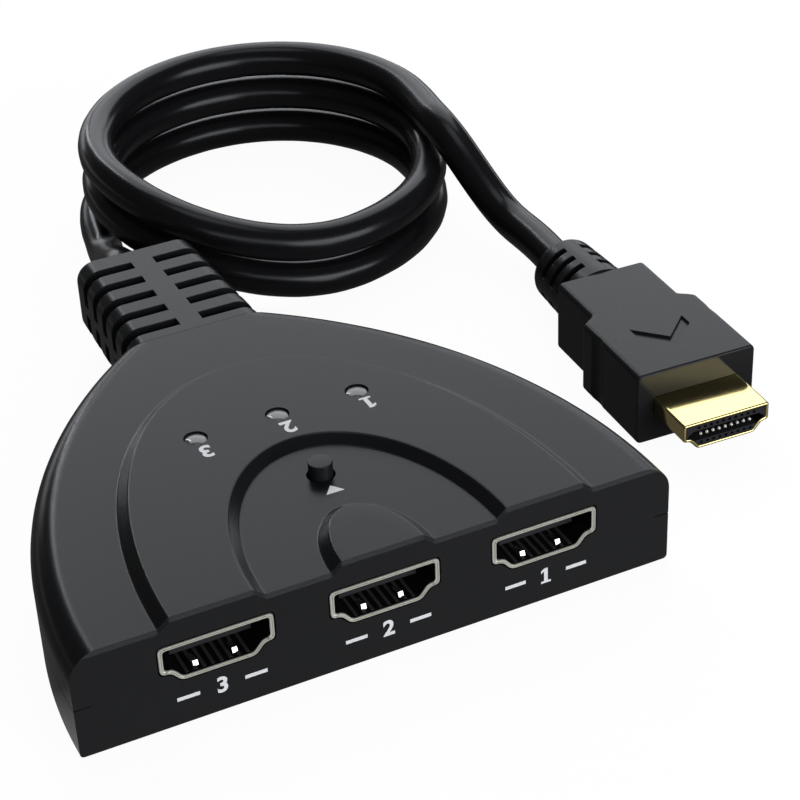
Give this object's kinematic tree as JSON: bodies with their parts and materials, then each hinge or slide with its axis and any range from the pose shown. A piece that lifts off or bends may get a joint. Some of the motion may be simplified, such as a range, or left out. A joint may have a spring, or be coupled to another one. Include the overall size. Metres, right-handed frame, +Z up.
{
  "type": "hdmi switch box",
  "caption": "Dark fan-shaped box with HDMI inputs along its front, indicator lamps and a select button on raised crescents on top, and a coiled captive HDMI cable ending in a gold-nosed plug.",
  "frame": {"origin": "on the base, at the middle of the box that holds the case and its cable boot (the free cable and plug left out)", "axes": "+Y towards the cable boot, -Y out of the input ports, +X to the right seen from the ports, +Z up"},
  "size_m": [0.113, 0.1479, 0.019],
  "materials": {
    "case_plastic": "fine matte moulding",
    "button_plastic": "satin moulding",
    "switch_plastic": "matte",
    "insulator_plastic": "matte",
    "grip_plastic": "fine matte moulding",
    "boot_rubber": "soft satin",
    "cable_jacket": "satin",
    "port_metal": "nickel-plated sheet",
    "gold_plating": "gold-plated",
    "tinned_metal": "tinned",
    "screw_steel": "zinc-plated",
    "lamp_epoxy": "clear grey epoxy",
    "board_laminate": "solder mask",
    "chip_epoxy": "matte",
    "capacitor_ceramic": "ceramic",
    "resistor_ceramic": "ceramic",
    "wire_insulation": "coloured insulation"
  },
  "bodies": {
    "box": {"top_cover": "case_plastic", "bottom_cover": "case_plastic", "port_plate": "case_plastic", "case_screws": "screw_steel", "circuit_board": "board_laminate", "hdmi_shell_1": "port_metal", "hdmi_shell_2": "port_metal", "hdmi_shell_3": "port_metal", "hdmi_core_1": "insulator_plastic", "hdmi_core_2": "insulator_plastic", "hdmi_core_3": "insulator_plastic", "hdmi_contacts_1": "gold_plating", "hdmi_contacts_2": "gold_plating", "hdmi_contacts_3": "gold_plating", "led_1": "lamp_epoxy", "led_2": "lamp_epoxy", "led_3": "lamp_epoxy", "led_pins": "tinned_metal", "tact_base": "switch_plastic", "tact_cover": "tinned_metal", "tact_dome": "tinned_metal", "tact_legs": "tinned_metal", "switch_chip": "chip_epoxy", "control_chip": "chip_epoxy", "chip_leads": "tinned_metal", "capacitors": "capacitor_ceramic", "resistors": "resistor_ceramic", "cable_boot": "boot_rubber", "cable_wires": "wire_insulation", "cable_exit": "cable_jacket", "cable_coil": "cable_jacket", "cable_lead": "cable_jacket", "plug_relief": "boot_rubber", "plug_grip": "grip_plastic", "plug_shell": "gold_plating", "plug_insulator": "insulator_plastic", "plug_pins": "gold_plating"},
    "button": {"select_button": "button_plastic"}
  },
  "joints": [
    {"name": "select_press", "type": "slide", "parent": "box", "child": "button", "axis": [0, 0, -1], "range_m": [0, 0.0003], "stiffness_N_per_m": 500, "deforming": ["tact_dome"]}
  ]
}
